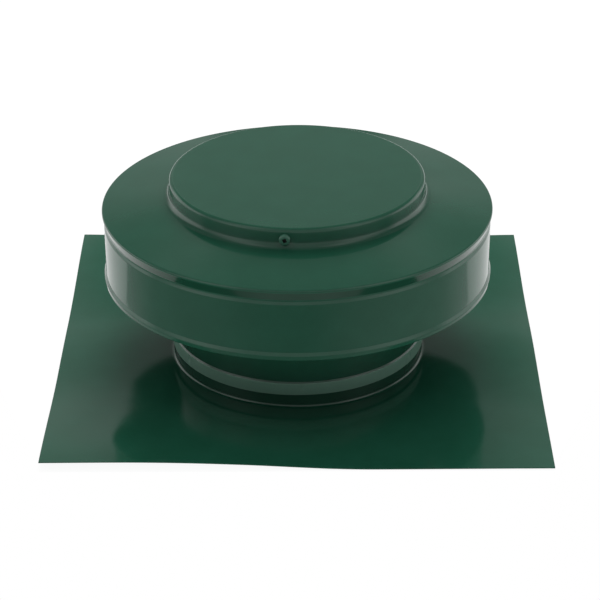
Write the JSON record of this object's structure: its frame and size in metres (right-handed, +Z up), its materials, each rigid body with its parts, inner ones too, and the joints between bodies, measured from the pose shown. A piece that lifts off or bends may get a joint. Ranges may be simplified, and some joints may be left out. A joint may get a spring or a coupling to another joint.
{
  "type": "round roof vent",
  "caption": "Static roof vent: square flashing, short collar, louvered head tube and a round spun hood held by screws.",
  "frame": {"origin": "middle of the throat, level with the underside of the flashing", "axes": "+Z up along the throat's axis, -Y towards the front of the picture, X and Y along the flashing's edges"},
  "size_m": [0.3938, 0.3938, 0.1582],
  "materials": {
    "flashing_paint": "gloss",
    "collar_paint": "gloss",
    "ring_paint": "gloss",
    "hood_paint": "gloss",
    "screw_paint": "gloss"
  },
  "bodies": {
    "root": {"base_flashing": "flashing_paint", "collar": "collar_paint", "louver_ring": "ring_paint", "hood": "hood_paint", "hood_screws": "screw_paint"}
  },
  "joints": []
}
